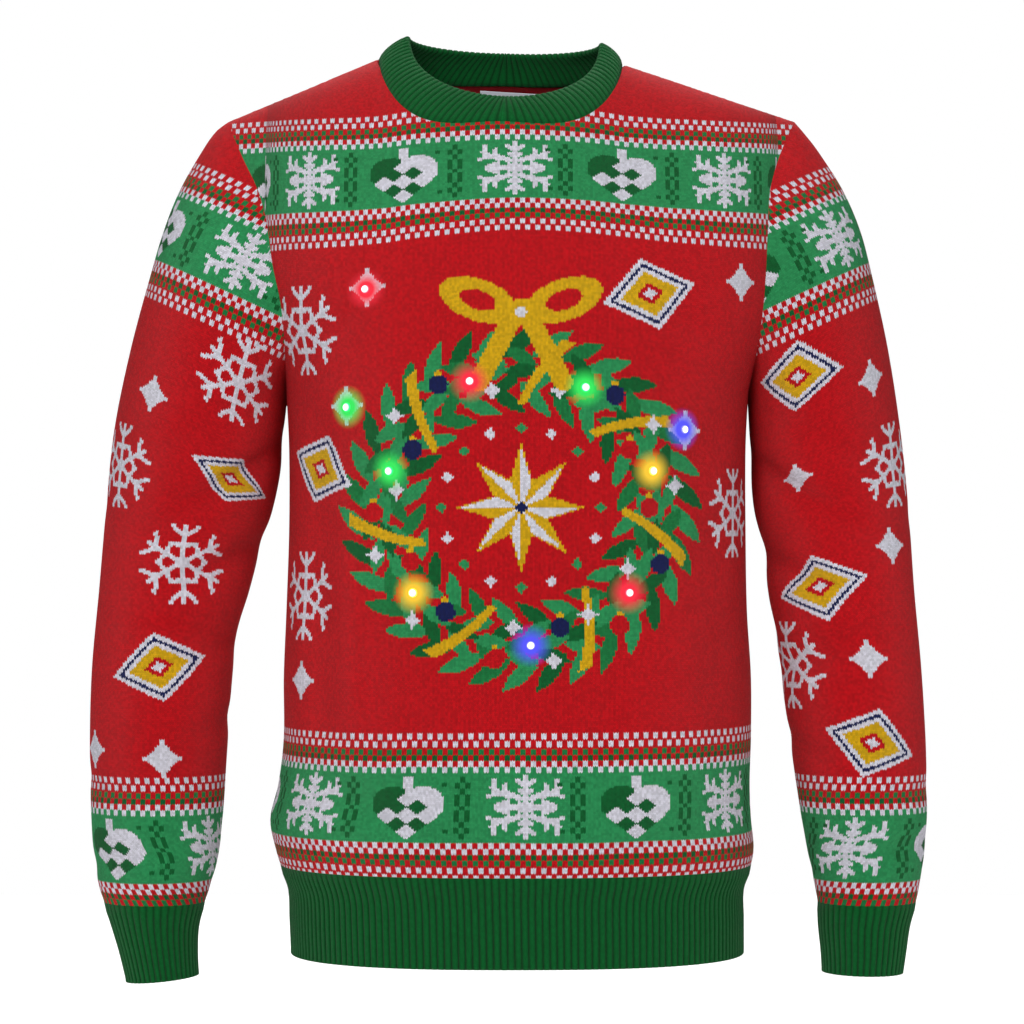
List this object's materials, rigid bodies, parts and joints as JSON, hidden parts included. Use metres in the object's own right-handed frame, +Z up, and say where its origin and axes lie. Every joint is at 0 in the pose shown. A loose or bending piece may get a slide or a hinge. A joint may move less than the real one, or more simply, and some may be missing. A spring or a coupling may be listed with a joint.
{
  "type": "christmas sweater",
  "caption": "Crew-neck knitted Christmas jumper with patterned bands, ribbed neck, cuffs and hem, and small lights on its front.",
  "frame": {"origin": "middle of the neck opening, at the height of the shoulder seams' neck ends, where the wearer's shoulders and neck hold the jumper", "axes": "+Z up along the wearer's body, -Y to the wearer's front, +X to the picture's right, which is the wearer's left"},
  "size_m": [0.6232, 0.2633, 0.703],
  "materials": {
    "body_knit": "fine plain knit in red, with knitted-in bands and motifs in green, white, dark green, gold and navy",
    "rib_knit": "two by one rib in dark green",
    "label_tape": "smooth blank woven tape",
    "light_red": "lit clear lens",
    "light_green": "lit clear lens",
    "light_blue": "lit clear lens",
    "light_yellow": "lit clear lens"
  },
  "bodies": {
    "root": {"front": "body_knit", "back": "body_knit", "sleeve_left": "body_knit", "sleeve_right": "body_knit", "cuff_left": "rib_knit", "cuff_right": "rib_knit", "hem_rib": "rib_knit", "neckband": "rib_knit", "neck_label": "label_tape", "light_1_red": "light_red", "light_2_green": "light_green", "light_3_blue": "light_blue", "light_4_green": "light_green", "light_5_yellow": "light_yellow", "light_6_red": "light_red", "light_7_blue": "light_blue", "light_8_yellow": "light_yellow", "light_9_green": "light_green", "light_10_red": "light_red"}
  },
  "joints": []
}
